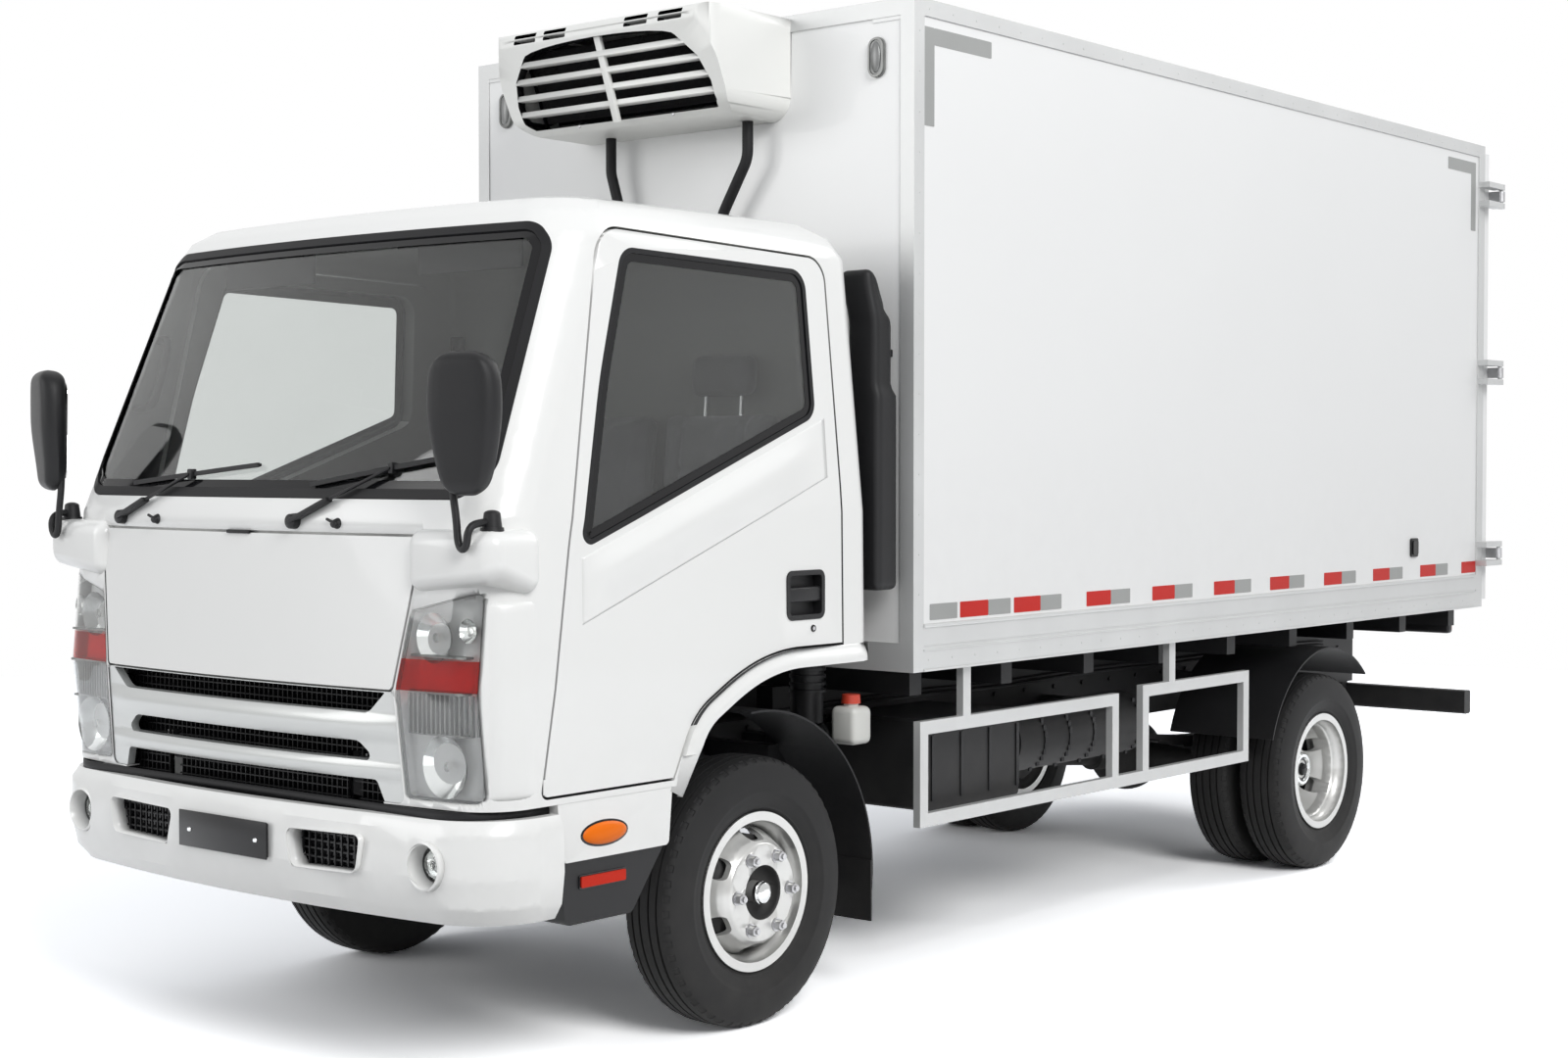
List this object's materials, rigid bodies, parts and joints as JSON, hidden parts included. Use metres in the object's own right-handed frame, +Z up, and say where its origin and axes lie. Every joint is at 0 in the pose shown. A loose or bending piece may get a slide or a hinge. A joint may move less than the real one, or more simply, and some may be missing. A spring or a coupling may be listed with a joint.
{
  "type": "refrigerated truck",
  "caption": "Light cab-over truck with an insulated box, nose-mounted refrigeration unit, swinging rear doors and a tilting cab.",
  "frame": {"origin": "on the ground, under the middle of the overall length and width", "axes": "the truck faces -Y, +X is its left side, +Z is up"},
  "size_m": [1.954, 6.0039, 2.929],
  "materials": {
    "cab_white": "gloss white enamel",
    "box_white": "white gel-coated panel skin",
    "trim_alloy": "satin anodised",
    "frame_black": "semi-matt black chassis paint",
    "cast_dark": "painted castings",
    "plain_steel": "zinc-plated steel",
    "alloy_tank": "mill finish",
    "black_plastic": "grained black",
    "grey_plastic": "interior grain",
    "seat_cloth": "woven",
    "clear_glass": "laminated, light green",
    "lamp_clear": "clear polycarbonate",
    "wheel_silver": "silver wheel paint",
    "tyre_black": "carbon black rubber",
    "hose_rubber": "smooth",
    "grille_silver": "silver grey",
    "unit_white": "moulded white"
  },
  "bodies": {
    "chassis": {"chassis_frame": "frame_black", "front_axle": "cast_dark", "rear_axle": "cast_dark", "leaf_springs": "frame_black", "engine": "cast_dark", "fuel_tank": "alloy_tank", "battery_box": "frame_black", "exhaust": "plain_steel", "side_guards": "trim_alloy", "front_mudguards": "black_plastic", "rear_mudguards": "black_plastic", "front_bumper": "cab_white", "rear_underrun": "frame_black", "chassis_lamps": "lamp_clear", "intake_snorkel": "black_plastic", "box_runners": "frame_black", "box_bearers": "frame_black", "box_floor": "box_white", "box_front_wall": "box_white", "box_side_walls": "box_white", "box_roof": "box_white", "box_frame": "trim_alloy", "reefer_housing": "unit_white", "reefer_condenser": "black_plastic", "reefer_evaporator": "unit_white", "reefer_hoses": "hose_rubber"},
    "cab": {"cab_shell": "cab_white", "cab_glass": "clear_glass", "cab_grille": "grille_silver", "headlamps": "lamp_clear", "mirrors": "black_plastic", "wipers": "black_plastic", "seats": "seat_cloth", "dashboard": "grey_plastic", "steering_wheel": "black_plastic", "step_panels": "cab_white", "step_treads": "black_plastic"},
    "cab_door_left": {"cab_door_left": "cab_white", "door_glass_left": "clear_glass"},
    "cab_door_right": {"cab_door_right": "cab_white", "door_glass_right": "clear_glass"},
    "front_lid": {"front_lid": "cab_white"},
    "cargo_door_left": {"cargo_door_left": "box_white", "door_gear_left": "plain_steel"},
    "cargo_door_right": {"cargo_door_right": "box_white", "door_gear_right": "plain_steel"},
    "steer_left": {"knuckle_left": "cast_dark"},
    "steer_right": {"knuckle_right": "cast_dark"},
    "tie_rod": {"tie_rod": "cast_dark"},
    "wheel_front_left": {"front_left_tyre": "tyre_black", "front_left_rim": "wheel_silver"},
    "wheel_front_right": {"front_right_tyre": "tyre_black", "front_right_rim": "wheel_silver"},
    "wheels_rear_left": {"rear_left_tyres": "tyre_black", "rear_left_rims": "wheel_silver"},
    "wheels_rear_right": {"rear_right_tyres": "tyre_black", "rear_right_rims": "wheel_silver"}
  },
  "joints": [
    {"name": "cab_tilt", "type": "hinge", "parent": "chassis", "child": "cab", "pos_m": [0, -2.8375, 0.79], "axis": [1, 0, 0], "range_deg": [0, 45]},
    {"name": "cab_door_left_hinge", "type": "hinge", "parent": "cab", "child": "cab_door_left", "pos_m": [0.897, -2.7105, 1.2], "axis": [0, 0, -1], "range_deg": [0, 65]},
    {"name": "cab_door_right_hinge", "type": "hinge", "parent": "cab", "child": "cab_door_right", "pos_m": [-0.897, -2.7105, 1.2], "axis": [0, 0, 1], "range_deg": [0, 65]},
    {"name": "front_lid_hinge", "type": "hinge", "parent": "cab", "child": "front_lid", "pos_m": [0, -2.944, 1.3878], "axis": [-1, 0, 0], "range_deg": [0, 60]},
    {"name": "cargo_door_left_hinge", "type": "hinge", "parent": "chassis", "child": "cargo_door_left", "pos_m": [0.962, 2.9775, 1.96], "axis": [0, 0, -1], "range_deg": [0, 270]},
    {"name": "cargo_door_right_hinge", "type": "hinge", "parent": "chassis", "child": "cargo_door_right", "pos_m": [-0.962, 2.9775, 1.96], "axis": [0, 0, 1], "range_deg": [0, 270]},
    {"name": "steer_left_kingpin", "type": "hinge", "parent": "chassis", "child": "steer_left", "pos_m": [0.62, -1.8225, 0.3775], "axis": [0, 0, 1], "range_deg": [-35, 35]},
    {"name": "steer_right_kingpin", "type": "hinge", "parent": "chassis", "child": "steer_right", "pos_m": [-0.62, -1.8225, 0.3775], "axis": [0, 0, 1], "range_deg": [-35, 35]},
    {"name": "tie_rod_pivot", "type": "hinge", "parent": "steer_left", "child": "tie_rod", "pos_m": [0.62, -1.6525, 0.3], "axis": [0, 0, 1], "range_deg": [-35, 35]},
    {"name": "front_left_spin", "type": "hinge", "parent": "steer_left", "child": "wheel_front_left", "pos_m": [0.747, -1.8225, 0.3775], "axis": [1, 0, 0], "continuous": true},
    {"name": "front_right_spin", "type": "hinge", "parent": "steer_right", "child": "wheel_front_right", "pos_m": [-0.747, -1.8225, 0.3775], "axis": [1, 0, 0], "continuous": true},
    {"name": "rear_left_spin", "type": "hinge", "parent": "chassis", "child": "wheels_rear_left", "pos_m": [0.692, 1.4855, 0.3775], "axis": [1, 0, 0], "continuous": true},
    {"name": "rear_right_spin", "type": "hinge", "parent": "chassis", "child": "wheels_rear_right", "pos_m": [-0.692, 1.4855, 0.3775], "axis": [1, 0, 0], "continuous": true}
  ],
  "couplings": [
    {"joint": "steer_right_kingpin", "follows": "steer_left_kingpin", "ratio": 1},
    {"joint": "tie_rod_pivot", "follows": "steer_left_kingpin", "ratio": -1}
  ]
}
